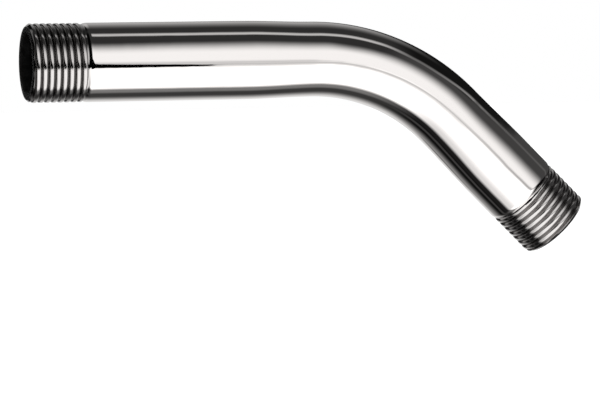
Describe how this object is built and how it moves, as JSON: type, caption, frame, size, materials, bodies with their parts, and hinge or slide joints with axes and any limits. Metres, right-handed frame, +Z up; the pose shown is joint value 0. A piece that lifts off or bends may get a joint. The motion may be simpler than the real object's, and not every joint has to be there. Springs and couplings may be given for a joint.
{
  "type": "shower arm",
  "caption": "Bent chrome tube with an outside pipe thread on each end, which carries water from a wall outlet out and down to a shower head.",
  "frame": {"origin": "centre of the end that screws into the wall, on the tube's axis", "axes": "+X along the straight run, out of the wall; +Z up; the tube bends down in the plane Y = 0"},
  "size_m": [0.1573, 0.022, 0.0653],
  "materials": {
    "chrome": "polished chrome plate on the outside, dull bare metal in the bore"
  },
  "bodies": {
    "root": {"shower_arm": "chrome"}
  },
  "joints": []
}
